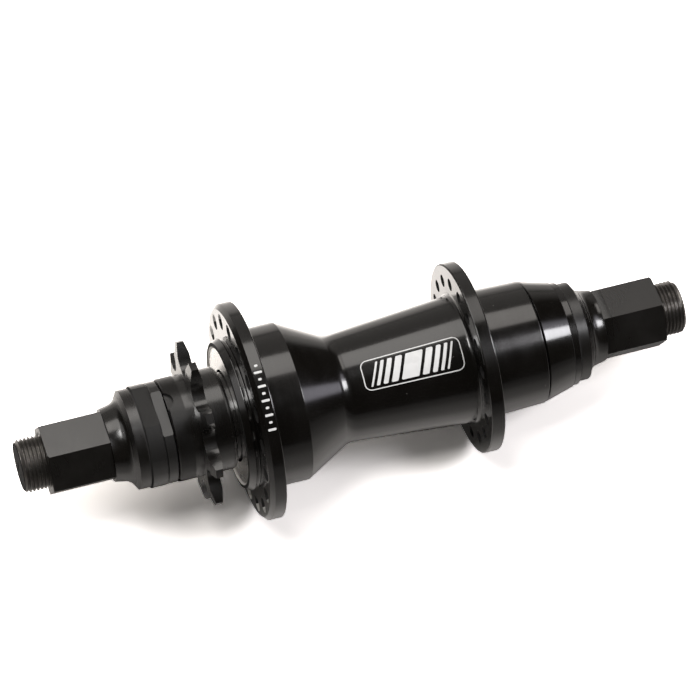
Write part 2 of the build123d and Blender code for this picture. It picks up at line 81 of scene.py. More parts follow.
level_right = Vector((
    cos(camera_side_turn),
    -sin(camera_side_turn) * cos(camera_height),
    sin(camera_side_turn) * sin(camera_height),
))
level_up = Vector((0, sin(camera_height), cos(camera_height)))
to_camera = level_right.cross(level_up)
picture_right = cos(camera_roll) * level_right - sin(camera_roll) * level_up
picture_up = sin(camera_roll) * level_right + cos(camera_roll) * level_up

camera = bpy.data.objects.new("camera", bpy.data.cameras.new("camera"))
bpy.context.scene.collection.objects.link(camera)
camera.data.sensor_width = 36
camera.data.lens = camera.data.sensor_width / 2 / tan(picture_angle / 2)
camera.data.clip_start = 10 * mm
camera.data.clip_end = 20
camera.matrix_world = Matrix((picture_right, picture_up, to_camera)).transposed().to_4x4()
camera.matrix_world.translation = camera_aim + camera_rise * level_up + camera_distance * to_camera
bpy.context.scene.camera = camera
print(f"camera {camera_distance:.3f} m away with a {camera.data.lens:.0f} mm lens")

# %% [markdown]
# ## Shader tools
#
# A node tree is easier to read when each line says what it computes. These helpers make one node
# at a time: `place` adds any node, `feed` fills an input with a number or a link, and `calc` is
# one Math node.

# %% Nodes and numbers
def place(tree, kind, **settings):
    """Adds a node and sets its plain settings."""
    made = tree.nodes.new(kind)
    for name, value in settings.items():
        setattr(made, name, value)
    return made


def feed(tree, socket, value):
    """Links a socket to an input, or writes a number or colour into it."""
    if isinstance(value, bpy.types.NodeSocket):
        tree.links.new(value, socket)
    elif value is not None:
        socket.default_value = value


def calc(tree, operation, first, second=None, third=None, clamp=False):
    """One Math node. Its inputs are numbers or sockets."""
    made = place(tree, "ShaderNodeMath", operation=operation, use_clamp=clamp)
    for socket, value in zip(made.inputs, (first, second, third)):
        feed(tree, socket, value)
    return made.outputs[0]


def blend_values(tree, amount, low, high):
    """A plain mix of two values."""
    made = place(tree, "ShaderNodeMix", data_type="FLOAT")
    feed(tree, made.inputs[0], amount)
    feed(tree, made.inputs[2], low)
    feed(tree, made.inputs[3], high)
    return made.outputs[0]


def blend_colours(tree, amount, low, high):
    """A mix of two colours, each an (r, g, b) or a socket."""
    made = place(tree, "ShaderNodeMix", data_type="RGBA")
    feed(tree, made.inputs[0], amount)
    for socket, value in ((made.inputs[6], low), (made.inputs[7], high)):
        feed(tree, socket, (*value, 1) if isinstance(value, tuple) else value)
    return made.outputs[2]


def step_up(tree, value, low, high):
    """Rises smoothly from 0 to 1 as a value goes from low to high."""
    made = place(tree, "ShaderNodeMapRange", interpolation_type="SMOOTHSTEP")
    for socket, number in zip(made.inputs, (value, low, high, 0.0, 1.0)):
        feed(tree, socket, number)
    return made.outputs[0]


print("node helpers ready")

# %% [markdown]
# The next helpers say where a point is. Object coordinates are the CAD model's own metres, so a
# place along the axle is plain X, and the distance from the axle comes from Y and Z. Noise read
# in object coordinates needs no unwrapped surface.

# %% Places and noise
def xyz_of(tree, kind):
    """The X, Y and Z of a texture coordinate, such as Object or Normal."""
    where = place(tree, "ShaderNodeTexCoord")
    split = place(tree, "ShaderNodeSeparateXYZ")
    tree.links.new(where.outputs[kind], split.inputs[0])
    return split.outputs


def radius_at(tree, spot):
    """How far a point is from the axle."""
    sideways = calc(tree, "MULTIPLY", spot["Y"], spot["Y"])
    return calc(tree, "SQRT", calc(tree, "MULTIPLY_ADD", spot["Z"], spot["Z"], sideways))


def between(tree, value, low, high):
    """1 where a value lies between two limits."""
    over = calc(tree, "GREATER_THAN", value, low)
    return calc(tree, "MULTIPLY", over, calc(tree, "LESS_THAN", value, high))


def add_noise(tree, dimensions, **values):
    """A Noise texture. In 3D it reads the point on the piece, in 1D its W."""
    made = place(tree, "ShaderNodeTexNoise", noise_dimensions=dimensions)
    if dimensions == "3D":
        where = place(tree, "ShaderNodeTexCoord")
        tree.links.new(where.outputs["Object"], made.inputs["Vector"])
    for name, value in values.items():
        feed(tree, made.inputs[name.capitalize()], value)
    return made.outputs[0]


print("place helpers ready")

# %% [markdown]
# Effects that several finishes share become node groups, which `new_group` starts and `use_group`
# places in a material. A group holds values only, and the shader stays in the material.

# %% Groups and materials
def new_group(name, inputs, outputs):
    """Starts a shader node group with named float inputs and outputs."""
    group = bpy.data.node_groups.new(name, "ShaderNodeTree")
    for label, value in inputs.items():
        socket = group.interface.new_socket(label, in_out="INPUT", socket_type="NodeSocketFloat")
        socket.default_value = value
    for label in outputs:
        group.interface.new_socket(label, in_out="OUTPUT", socket_type="NodeSocketFloat")
    return group, place(group, "NodeGroupInput").outputs, place(group, "NodeGroupOutput").inputs


def use_group(tree, group, **values):
    """Places a group in a material with that material's own values."""
    made = place(tree, "ShaderNodeGroup", node_tree=group)
    for name, value in values.items():
        feed(tree, made.inputs[name.replace("_", " ").capitalize()], value)
    return made.outputs


def new_material(name):
    """A material, its node tree and its Principled shader."""
    made = bpy.data.materials.new(name)
    made.use_nodes = True
    return made, made.node_tree, made.node_tree.nodes["Principled BSDF"]


def raise_surface(tree, shader, height):
    """Bump from a height in millimetres."""
    bump = place(tree, "ShaderNodeBump")
    bump.inputs["Distance"].default_value = mm
    feed(tree, bump.inputs["Height"], height)
    tree.links.new(bump.outputs[0], shader.inputs["Normal"])


print("group and material helpers ready")

# %% [markdown]
# ## Turning marks
#
# Nearly every piece of this hub was made on a lathe, so its surface holds very fine rings: along
# the axle on a round face, and concentric on a flat one. Anodising keeps them. An image texture
# would need an unwrapped surface. Noise that is read along one distance does the same with no
# unwrapping. The distance here is X plus a share of the radius, so it grows along a round face and
# across a flat one alike, and no seam shows where the two meet.

# %% Turning marks
radius_share = 1.37
wander_scale = 60
ring_detail = 3
streak_scale = 0.9
streak_limits = (0.35, 0.7)

tree, given, out = new_group(
    "turning_marks", {"Rings per mm": 8.0, "Unevenness": 0.02}, ["Height", "Streak"]
)
turning_marks = tree
spot = xyz_of(tree, "Object")
across_marks = calc(tree, "MULTIPLY_ADD", radius_at(tree, spot), radius_share, spot["X"])
wander = add_noise(tree, "3D", scale=wander_scale)
position = calc(
    tree,
    "ADD",
    calc(tree, "MULTIPLY", across_marks, per_mm),
    calc(tree, "MULTIPLY", wander, given["Unevenness"]),
)
ring_position = calc(tree, "MULTIPLY", position, given["Rings per mm"])
rings = add_noise(tree, "1D", w=ring_position, scale=1, detail=ring_detail)
broad = add_noise(tree, "1D", w=position, scale=streak_scale)
feed(tree, out["Height"], rings)
feed(tree, out["Streak"], step_up(tree, broad, *streak_limits))
print("turning marks group made")

# %% [markdown]
# ## Worn edges
#
# A black finish goes first where edges rub: the corners of a nut, the tips of teeth, the rim of a
# flange. The Bevel node gives the normal that a rounded edge would have. Where that differs from
# the true normal there is an edge, and a noise breaks the edge into dashes and chips.

# %% Worn edges
edge_limits = (0.01, 0.16)
chip_detail = 5
chip_roughness = 0.65
chip_start = 0.78
chip_start_drop = 0.45
chip_blur = 0.12

tree, given, out = new_group(
    "worn_edges", {"Width mm": 0.25, "Amount": 0.5, "Patch mm": 1.0}, ["Mask"]
)
worn_edges = tree
rounded_normal = place(tree, "ShaderNodeBevel", samples=6)
feed(tree, rounded_normal.inputs["Radius"], calc(tree, "MULTIPLY", given["Width mm"], mm))
surface = place(tree, "ShaderNodeNewGeometry")
agreement = place(tree, "ShaderNodeVectorMath", operation="DOT_PRODUCT")
tree.links.new(rounded_normal.outputs[0], agreement.inputs[0])
tree.links.new(surface.outputs["Normal"], agreement.inputs[1])
bend = calc(tree, "SUBTRACT", 1.0, agreement.outputs["Value"])
edge = step_up(tree, bend, *edge_limits)
patch_scale = calc(tree, "DIVIDE", per_mm, given["Patch mm"])
chips = add_noise(tree, "3D", scale=patch_scale, detail=chip_detail, roughness=chip_roughness)
drop = calc(tree, "MULTIPLY", given["Amount"], chip_start_drop)
limit = calc(tree, "SUBTRACT", chip_start, drop)
chipped = step_up(tree, chips, limit, calc(tree, "ADD", limit, chip_blur))
feed(tree, out["Mask"], calc(tree, "MULTIPLY", edge, chipped, clamp=True))
print("worn edges group made")

# %% [markdown]
# ## Handling
#
# A part that has been picked up isn't evenly glossy. Faint patches of skin oil change the
# roughness over some millimetres, and a few specks of dust sit on top. Both are noises, one slow
# and one fast, so that one group serves every finish.

# %% Handling
smudge_detail = 4
smudge_distortion = 0.6
smudge_limits = (0.38, 0.66)
speck_scale = 1400
speck_radius = 0.16
grain_scale = 9000
grain_detail = 2

tree, given, out = new_group(
    "handling", {"Patch mm": 9.0, "Dust": 0.3}, ["Smudge", "Dust", "Grain"]
)
handling = tree
patch_scale = calc(tree, "DIVIDE", per_mm, given["Patch mm"])
patches = add_noise(
    tree, "3D", scale=patch_scale, detail=smudge_detail, distortion=smudge_distortion
)
where = place(tree, "ShaderNodeTexCoord")
specks = place(tree, "ShaderNodeTexVoronoi", feature="F1")
tree.links.new(where.outputs["Object"], specks.inputs["Vector"])
specks.inputs["Scale"].default_value = speck_scale
speck_choice = place(tree, "ShaderNodeSeparateColor")
tree.links.new(specks.outputs["Color"], speck_choice.inputs[0])
chosen = calc(
    tree, "GREATER_THAN", speck_choice.outputs[0], calc(tree, "SUBTRACT", 1.0, given["Dust"])
)
in_speck = calc(tree, "LESS_THAN", specks.outputs["Distance"], speck_radius)
grain = add_noise(tree, "3D", scale=grain_scale, detail=grain_detail)
feed(tree, out["Smudge"], step_up(tree, patches, *smudge_limits))
feed(tree, out["Dust"], calc(tree, "MULTIPLY", in_speck, chosen))
feed(tree, out["Grain"], grain)
print("handling group made")

# %% [markdown]
# ## One recipe for the metal finishes
#
# Anodised, blackened and bare metals differ in colour, gloss and wear, not in how they are put
# together. So one recipe builds them: a Principled shader, turning marks and grain in a Bump node,
# roughness that changes with handling, and a worn colour on the edges. What is the same all over a
# surface, such as the index of refraction, is written on the shader's own socket.
#
# Masks make room for exceptions within a piece. `dull` is where the surface is rougher and may
# lose its coat, `bare` is where a cut through the black shows the metal, and the last mask makes a
# zone near black and matt: black grease in the seams, and the axle's end faces. `relief` adds a
# height of its own to the bump.

# %% Metal recipe
dust_colour = (0.45, 0.43, 0.4)
dust_cover = 0.3
dust_roughness = 0.3
least_change = 0.0005
bare_colour = (0.86, 0.85, 0.83)
bare_roughness = 0.5
blackening_colour = (0.004, 0.0035, 0.003)
blackening_roughness = 0.9


def metal_finish(
    name, colour, worn_colour, roughness, metallic=0.0, ior=1.5, coat=0.0, coat_roughness=0.2,
    rings=8.0, ring_depth=0.0005, grain_depth=0.0004, edge_width=0.2, wear=0.3, worn_metallic=1.0,
    smudge=0.05, dust=0.004, streak=0.02, variation=0.25, dull=None, dull_roughness=0.45,
    dull_coat=None, bare=None, relief=None, blackening=None,
):
    """A finished metal. Depths are in millimetres of bump."""
    made, tree, shader = new_material(name)
    marks = use_group(tree, turning_marks, rings_per_mm=rings)
    touch = use_group(tree, handling, dust=dust)
    worn = use_group(tree, worn_edges, width_mm=edge_width, amount=wear)

    lighter = tuple(min(1, channel * (1 + variation) + least_change) for channel in colour)
    body_colour = blend_colours(tree, touch["Smudge"], colour, lighter)
    dusted = calc(tree, "MULTIPLY", touch["Dust"], dust_cover)
    dusty = blend_colours(tree, dusted, body_colour, dust_colour)
    base_colour = blend_colours(tree, worn["Mask"], dusty, worn_colour)
    metal = blend_values(tree, worn["Mask"], metallic, worn_metallic)

    if dull is not None:
        matt_zone = dull(tree)
        roughness = blend_values(tree, matt_zone, roughness, dull_roughness)
        if dull_coat is not None:
            coat = blend_values(tree, matt_zone, coat, dull_coat)
    smudged = calc(tree, "MULTIPLY_ADD", touch["Smudge"], smudge, roughness)
    gloss = calc(tree, "MULTIPLY_ADD", marks["Streak"], streak, smudged)
    gloss = calc(tree, "MULTIPLY_ADD", touch["Dust"], dust_roughness, gloss)

    if blackening is not None:
        joint = blackening(tree)
        gloss = blend_values(tree, joint, gloss, blackening_roughness)
        base_colour = blend_colours(tree, joint, base_colour, blackening_colour)
        metal = blend_values(tree, joint, metal, 0.0)
        coat = blend_values(tree, joint, coat, 0.0)
    if bare is not None:
        cut = bare(tree)
        base_colour = blend_colours(tree, cut, base_colour, bare_colour)
        metal = calc(tree, "MAXIMUM", metal, cut)
        gloss = blend_values(tree, cut, gloss, bare_roughness)
        coat = blend_values(tree, cut, coat, 0.0)
    feed(tree, shader.inputs["Base Color"], base_colour)
    feed(tree, shader.inputs["Metallic"], metal)
    feed(tree, shader.inputs["Roughness"], gloss)
    feed(tree, shader.inputs["Coat Weight"], coat)

    ring_height = calc(tree, "MULTIPLY", marks["Height"], ring_depth)
    height = calc(tree, "MULTIPLY_ADD", touch["Grain"], grain_depth, ring_height)
    if relief is not None:
        height = calc(tree, "ADD", height, relief(tree))
    raise_surface(tree, shader, height)
    shader.inputs["IOR"].default_value = ior
    shader.inputs["Coat Roughness"].default_value = coat_roughness
    return made


finishes = {}
print("metal recipe ready")

# %% [markdown]
# ## The anodised shell
#
# The shell is aluminium, turned, polished and anodised black. The dye sits in a clear layer of
# oxide, so there are two glossy surfaces: the top of the layer and the dyed metal under it. A coat
# of full weight over a nearly black base gives both. Head on it mirrors little and looks black, and
# at a shallow angle the flange faces turn almost white.
#
# The lip's inner wall was bored after the anodising, so it is bare. The mask finds it by where it
# is and by its normal, which points towards the axle. The spoke holes were drilled before it with a
# coarse bit, so their walls stay matt and swallow light. They are what lies between the barrel and
# the rim at a flange and doesn't face along the axle.

# %% Shell finish
lip_zone_x = -29.4 * mm
wall_turn_in = -5.0 * mm
lip_end_x = -33.6 * mm
hole_wall_turn = 0.93
hole_zones = (
    (-31.0 * mm, -26.2 * mm, 22.0 * mm, 26.6 * mm),
    (28.7 * mm, 32.9 * mm, 18.6 * mm, 22.9 * mm),
)


def bored_wall(tree):
    """1 on the walls of the shell's mouth that look towards the axle."""
    spot = xyz_of(tree, "Object")
    facing = xyz_of(tree, "Normal")
    over = calc(tree, "MULTIPLY", spot["Y"], facing["Y"])
    outward = calc(tree, "MULTIPLY_ADD", spot["Z"], facing["Z"], over)
    inward = calc(tree, "LESS_THAN", outward, wall_turn_in)
    return calc(tree, "MULTIPLY", inward, calc(tree, "LESS_THAN", spot["X"], lip_zone_x))


def drilled_walls(tree):
    """1 on the spoke holes' walls and on the narrow end face of the lip."""
    spot = xyz_of(tree, "Object")
    radius = radius_at(tree, spot)
    flanges = 0.0
    for low, high, inner, outer in hole_zones:
        slab = between(tree, spot["X"], low, high)
        zone = calc(tree, "MULTIPLY", slab, between(tree, radius, inner, outer))
        flanges = calc(tree, "MAXIMUM", flanges, zone)
    along = calc(tree, "ABSOLUTE", xyz_of(tree, "Normal")["X"])
    drilled = calc(tree, "MULTIPLY", flanges, calc(tree, "LESS_THAN", along, hole_wall_turn))
    end_face = calc(tree, "LESS_THAN", spot["X"], lip_end_x)
    return calc(tree, "MAXIMUM", drilled, end_face)


finishes["shell_anodised"] = metal_finish(
    "shell_anodised", (0.0022, 0.0018, 0.0015), (0.30, 0.29, 0.28), roughness=0.19,
    coat=1.0, coat_roughness=0.12, rings=7, edge_width=0.10, wear=0.0, bare=bored_wall,
    dull=drilled_walls, dull_roughness=0.75, dull_coat=0.0,
)
print("shell finish made")

# %% [markdown]
# ## The cones and the nuts
#
# The cones carry the shell's polish, apart from the cone and locknut of the cog's side, which are
# steel and duller. A nut's flats are ground and its neck is polished, with a slight hollow turned
# in it that gathers the light in one spot. Its finish is a thin film with no clear layer, so it
# has no coat but a higher index of refraction. Grease fills the seams where the pieces meet.

# %% Cone and nut finishes
hex_start_x = 65.9 * mm
hex_blend = 0.1 * mm
neck_start_x = 60.8 * mm
neck_blend = 0.6 * mm
hollow_middle_mm = 63.2
hollow_shift_mm = 1.2
hollow_reach_mm = 3.9
hollow_curve = 0.0585
hollow_curve_change = 0.0165
seam_half_width = 0.28 * mm
seam_blur = 0.7
grease_seams = (
    (-57.3 * mm, seam_half_width),
    (57.5 * mm, seam_half_width),
    (55.6 * mm, seam_half_width / 2),
)


def cog_side_of(limit):
    """Makes a mask that is 1 on the cog's side of a place along the axle."""
    return lambda tree: calc(tree, "LESS_THAN", xyz_of(tree, "Object")["X"], limit)


def end_distance(tree):
    """How far a point is from the middle of the hub, along the axle."""
    return calc(tree, "ABSOLUTE", xyz_of(tree, "Object")["X"])


def seam_grease(tree):
    """1 in the thin black lines where a nut meets what it is tightened against."""
    along = xyz_of(tree, "Object")["X"]
    lines = 0.0
    for seam_x, half_width in grease_seams:
        off = calc(tree, "ABSOLUTE", calc(tree, "SUBTRACT", along, seam_x))
        line = step_up(tree, off, half_width, half_width * seam_blur)
        lines = calc(tree, "MAXIMUM", lines, line)
    return lines


def outside_neck(tree):
    """1 on a nut's hexagon and rim, 0 on the polished neck between them."""
    along = end_distance(tree)
    hexagon = step_up(tree, along, hex_start_x - hex_blend, hex_start_x + hex_blend)
    rim = step_up(tree, along, neck_start_x + neck_blend, neck_start_x)
    return calc(tree, "MAXIMUM", hexagon, rim)


def neck_hollow(tree):
    """The hollow in the neck, as a height in millimetres. On the cog's side it is one-sided."""
    side = calc(tree, "SIGN", xyz_of(tree, "Object")["X"])
    middle = calc(tree, "MULTIPLY_ADD", side, hollow_shift_mm, hollow_middle_mm)
    back = calc(tree, "MULTIPLY", middle, -1.0)
    from_middle = calc(tree, "MULTIPLY_ADD", end_distance(tree), per_mm, back)
    lowest = calc(tree, "MULTIPLY_ADD", side, -hollow_shift_mm, -hollow_shift_mm)
    over_lowest = calc(tree, "MAXIMUM", from_middle, lowest)
    held = calc(tree, "MINIMUM", over_lowest, hollow_reach_mm)
    curve = calc(tree, "MULTIPLY_ADD", side, hollow_curve_change, hollow_curve)
    return calc(tree, "MULTIPLY", calc(tree, "MULTIPLY", held, held), curve)


finishes["cone_black"] = metal_finish(
    "cone_black", (0.0026, 0.0022, 0.0018), (0.32, 0.31, 0.30), roughness=0.16,
    coat=1.0, coat_roughness=0.12, rings=6, edge_width=0.12, wear=0.05,
    dull=cog_side_of(0.0), dull_roughness=0.62, blackening=seam_grease,
)
finishes["nut_black"] = metal_finish(
    "nut_black", (0.0040, 0.0034, 0.0028), (0.28, 0.27, 0.26), roughness=0.17, ior=1.8,
    rings=3, grain_depth=0.0006, edge_width=0.12, wear=0.12,
    dull=outside_neck, dull_roughness=0.27, relief=neck_hollow, blackening=seam_grease,
)
print("cone and nut finishes made")

# %% [markdown]
# ## The driver and the cog
#
# These are steel, blackened in a hot salt bath and oiled. The film is thin, warmer than the shell's
# black, and it rubs off first at the tips of the teeth. The driver's lockring has no oil on it.

# %% Driver and cog
lockring_end_x = -45.9 * mm
finishes["driver_black"] = metal_finish(
    "driver_black", (0.0036, 0.0031, 0.0026), (0.34, 0.33, 0.31), roughness=0.26,
    coat=1.0, coat_roughness=0.19, rings=5, grain_depth=0.0005, edge_width=0.14, wear=0.15,
    dull=cog_side_of(lockring_end_x), dull_roughness=0.34, dull_coat=0.1,
)
print("driver finish made")

# %% [markdown]
# ## Bare steels and turned aluminium
#
# What sits inside the hub has no black finish: ground bearing races, the hardened ratchet and
# pawls, a bright spring and turned spacer tubes. They are true metals, so their colour is in the
# reflection. They differ in gloss: grinding leaves fine rings, hardening leaves a grey bloom. The
# axle is darker, and its end faces are coloured near black and matt.

# %% Inner metals
axle_end_x = 88.55 * mm


def axle_ends(tree):
    """1 on the end faces of the axle."""
    return calc(tree, "GREATER_THAN", end_distance(tree), axle_end_x)


finishes["axle_steel"] = metal_finish(
    "axle_steel", (0.130, 0.122, 0.114), (0.55, 0.53, 0.50), roughness=0.32, metallic=0.9,
    rings=6, ring_depth=0.001, grain_depth=0.001, edge_width=0.14, wear=0.62, blackening=axle_ends,
)
finishes["hardened_steel"] = metal_finish(
    "hardened_steel", (0.36, 0.35, 0.34), (0.6, 0.6, 0.6), roughness=0.34, metallic=1.0,
    rings=4, ring_depth=0.0012, edge_width=0.12, wear=0.5,
)
finishes["bearing_steel"] = metal_finish(
    "bearing_steel", (0.62, 0.62, 0.62), (0.72, 0.72, 0.72), roughness=0.16, metallic=1.0,
    rings=12, ring_depth=0.0005, edge_width=0.1, wear=0.2, variation=0.05,
)
finishes["cover_steel"] = metal_finish(
    "cover_steel", (0.86, 0.85, 0.84), (0.80, 0.80, 0.80), roughness=0.22, metallic=1.0,
    rings=8, ring_depth=0.0004, edge_width=0.05, wear=0.1, variation=0.03,
)
finishes["spring_steel"] = metal_finish(
    "spring_steel", (0.42, 0.41, 0.40), (0.6, 0.6, 0.6), roughness=0.25, metallic=1.0,
    rings=1, ring_depth=0.0004, edge_width=0.05, wear=0.2,
)
finishes["spacer_aluminium"] = metal_finish(
    "spacer_aluminium", (0.62, 0.62, 0.63), (0.75, 0.75, 0.75), roughness=0.32, metallic=1.0,
    rings=5, ring_depth=0.0025, edge_width=0.1, wear=0.2, variation=0.06,
)
print("inner metals made")

# %% [markdown]
# ## Rubber
#
# The dust seal and the bearing shields are moulded rubber: matt, slightly pebbled and never quite
# black. The same turning rings help here too, because the mould itself was turned.

# %% Rubber
rubber_dust_colour = (0.4, 0.38, 0.36)
rubber_dust_cover = 0.4
rubber_bloom = 1.8
rubber_smudge = 0.12
pebble_mm = 0.004
mould_ring_mm = 0.003


def rubber_finish(name, colour, roughness):
    """Moulded black rubber with a fine pebble and a little dust."""
    made, tree, shader = new_material(name)
    marks = use_group(tree, turning_marks, rings_per_mm=3.0)
    touch = use_group(tree, handling, patch_mm=5.0, dust=0.02)
    bloom = tuple(channel * rubber_bloom for channel in colour)
    body_colour = blend_colours(tree, touch["Smudge"], colour, bloom)
    dusted = calc(tree, "MULTIPLY", touch["Dust"], rubber_dust_cover)
    dusty = blend_colours(tree, dusted, body_colour, rubber_dust_colour)
    gloss = calc(tree, "MULTIPLY_ADD", touch["Smudge"], rubber_smudge, roughness)
    feed(tree, shader.inputs["Base Color"], dusty)
    feed(tree, shader.inputs["Roughness"], gloss)
    pebble = calc(tree, "MULTIPLY", touch["Grain"], pebble_mm)
    height = calc(tree, "MULTIPLY_ADD", marks["Height"], mould_ring_mm, pebble)
    raise_surface(tree, shader, height)
    return made


finishes["shield_black"] = rubber_finish("shield_black", (0.022, 0.021, 0.021), 0.55)
finishes["seal_rubber"] = rubber_finish("seal_rubber", (0.018, 0.018, 0.018), 0.62)
print("rubber finishes made")

# %% [markdown]
# ## Dressing the CAD pieces
#
# The record says which finish each CAD piece takes, so one loop dresses them all. Only the
# material in the piece's slot changes; the mesh and its place stay as the CAD made them.

# %% Dress the pieces
for part in frame["record"]["subparts"]:
    nodes[part["node"]].material_slots[0].material = finishes[part["material_slot"]]

# %% [markdown]
# ## Mesh tools
#
# Round pieces are built from rings of points: one ring for each step of the outline, and a band of
# faces between each two.

# %% Mesh tools
crisp_edge = 25


def object_from(mesh, name):
    """Turns a bmesh into an object of the scene."""
    data = bpy.data.meshes.new(name)
    mesh.to_mesh(data)
    mesh.free()
    made = bpy.data.objects.new(name, data)
    bpy.context.scene.collection.objects.link(made)
    return made


def ring_of(mesh, x, radius, steps, side=1):
    """One ring of points round the axle."""
    turns = [2 * pi * step / steps for step in range(steps)]
    return [mesh.verts.new((x, radius * cos(turn), side * radius * sin(turn))) for turn in turns]


def join_rings(mesh, first, second):
    """A band of faces between two rings."""
    for step in range(len(first)):
        after = (step + 1) % len(first)
        mesh.faces.new((first[step], first[after], second[after], second[step]))


def smooth_by_angle(piece, degrees_limit):
    """Smooth shading, with edges sharper than the limit kept crisp."""
    data = piece.data
    data.shade_smooth()
    mesh = bmesh.new()
    mesh.from_mesh(data)
    for line in mesh.edges:
        bend = line.calc_face_angle(None)
        line.smooth = bend is not None and bend < radians(degrees_limit)
    mesh.to_mesh(data)
    mesh.free()


print("mesh helpers ready")

# %% [markdown]
# ## The axle's threads
#
# The CAD axle is a plain rod at the thread's outer size. A real one has a fine thread at each end,
# and the eye finds it at once in the bright lines outside the nuts. A bump could fake it head on,
# but not in outline, so the thread is real geometry: a helix of four points a turn, wound
# round the rod, trimmed flat at both ends and cut back by the chamfer.

# %% Thread
thread_pitch = 1.0 * mm
thread_depth = 0.58 * mm
thread_steps = 56
thread_radius = 6.95 * mm
end_chamfer = 0.8 * mm
thread_profile = ((0.0, 0.0), (0.12, 0.0), (0.48, 1.0), (0.60, 1.0))


def wind_thread(mesh, x_outer, x_inner, side):
    """Winds one thread from the axle's end in to the plain body."""
    length = abs(x_outer - x_inner)
    turns = int(length / thread_pitch) + 2
    rows = []
    for turn in range(-1, turns):
        for share, cut in thread_profile:
            row = []
            for step in range(thread_steps + 1):
                along = (turn + share + step / thread_steps) * thread_pitch
                held = min(max(along, 0.0), length)
                radius = thread_radius - cut * thread_depth
                radius = min(radius, thread_radius - end_chamfer + held)
                if held != along:
                    radius = thread_radius - (end_chamfer if held == 0.0 else thread_depth)
                angle = 2 * pi * step / thread_steps
                row.append(mesh.verts.new((
                    x_outer - side * held, radius * cos(angle), side * radius * sin(angle)
                )))
            rows.append(row)
    for first, second in zip(rows, rows[1:]):
        for step in range(thread_steps):
            mesh.faces.new((first[step], first[step + 1], second[step + 1], second[step]))


print(f"thread of {thread_pitch / mm:.1f} mm pitch ready")

# %% [markdown]
# The axle is two threads, the ground body between them and a drilled centre in each end face. It
# takes the place of the plain CAD axle and rides on the same body.

# %% Threaded axle
axle_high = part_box("axle")[1]
axle_end = axle_high.x
body_radius = axle_high.z
body_ends = (
    (-1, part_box("inner_race_driver_outer")[0].x),
    (1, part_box("inner_race_shell_nondrive")[1].x),
)
centre_hole_radius = 1.2 * mm
centre_hole_depth = 1.8 * mm
centre_tip_radius = 0.25 * mm
weld_distance = 0.004 * mm
sliver_limit = 0.002 * mm

mesh = bmesh.new()
for side, body_end in body_ends:
    end = side * axle_end
    wind_thread(mesh, end, body_end, side)
    body_steps = (
        (body_end, thread_radius - thread_depth),
        (body_end, body_radius),
        (0.0, body_radius),
    )
    end_face_steps = (
        (end, thread_radius - end_chamfer),
        (end, centre_hole_radius),
        (end - side * centre_hole_depth, centre_tip_radius),
    )
    for outline in (body_steps, end_face_steps):
        rings = [ring_of(mesh, x, radius, thread_steps, side) for x, radius in outline]
        for first, second in zip(rings, rings[1:]):
            join_rings(mesh, first, second)
    mesh.faces.new(rings[-1])
bmesh.ops.remove_doubles(mesh, verts=mesh.verts, dist=weld_distance)
bmesh.ops.dissolve_degenerate(mesh, edges=mesh.edges, dist=sliver_limit)
bmesh.ops.recalc_face_normals(mesh, faces=mesh.faces)
axle_piece = object_from(mesh, "axle_threaded")
smooth_by_angle(axle_piece, crisp_edge)
axle_piece.data.materials.append(finishes["axle_steel"])
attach(axle_piece, "axle")
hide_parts("axle")
print(f"threaded axle: {len(axle_piece.data.polygons)} faces")

# %% [markdown]
# ## The seal's steel cover
#
# A thin bright steel ring is pressed into the mouth of the shell, just inside the lip, and keeps
# stones off the rubber seal. At that shallow angle it mirrors the paper behind the hub and shows
# white. Its inner edge stays clear of the driver's neck.

# %% Seal cover
cover_depth = 0.35 * mm
cover_thickness = 0.30 * mm
cover_inner_radius = 12.1 * mm
cover_outer_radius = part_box("dust_seal")[1].z - 0.03 * mm
cover_steps = 96

mesh = bmesh.new()
cover_face_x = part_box("hub_shell")[0].x + cover_depth
cover_back_x = cover_face_x + cover_thickness
cover_outline = (
    (cover_back_x, cover_inner_radius),
    (cover_face_x, cover_inner_radius),
    (cover_face_x, cover_outer_radius),
    (cover_back_x, cover_outer_radius),
)
rings = [ring_of(mesh, x, radius, cover_steps) for x, radius in cover_outline]
for first, second in zip(rings, rings[1:] + rings[:1]):
    join_rings(mesh, first, second)
bmesh.ops.recalc_face_normals(mesh, faces=mesh.faces)
seal_cover = object_from(mesh, "seal_cover")
smooth_by_angle(seal_cover, crisp_edge)
seal_cover.data.materials.append(finishes["cover_steel"])
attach(seal_cover, "shell")
print(f"seal cover: radius {cover_outer_radius / mm:.2f} mm")

# %% [markdown]
# ## White prints
#
# Two things are printed on the black: a panel on the barrel and a row of marks on the rim of the
# larger flange. They are drawn flat, as outlines in millimetres, filled by Blender's own 2D curve,
# cut into strips, then wrapped round the hub. As geometry they stay sharp at any distance, which
# a small picture on the surface would not.

# %% Flat prints
def rounded_loop(corners, radius, steps=6):
    """The points of a closed anticlockwise outline whose corners are rounded."""
    points = []
    for index, corner in enumerate(corners):
        here = Vector(corner)
        back = (Vector(corners[index - 1]) - here).normalized()
        ahead = (Vector(corners[(index + 1) % len(corners)]) - here).normalized()
        half = back.angle(ahead) / 2
        centre = here + (back + ahead).normalized() * (radius / sin(half))
        start = here + back * (radius / tan(half)) - centre
        first_turn = atan2(start.y, start.x)
        whole_turn = pi - 2 * half
        for step in range(steps + 1):
            turn = first_turn + whole_turn * step / steps
            points.append(centre + radius * Vector((cos(turn), sin(turn))))
    return points


def rectangle(width, height, middle=(0, 0)):
    """The four corners of a rectangle, anticlockwise."""
    x, y = middle
    return [
        (x - width / 2, y - height / 2),
        (x + width / 2, y - height / 2),
        (x + width / 2, y + height / 2),
        (x - width / 2, y + height / 2),
    ]


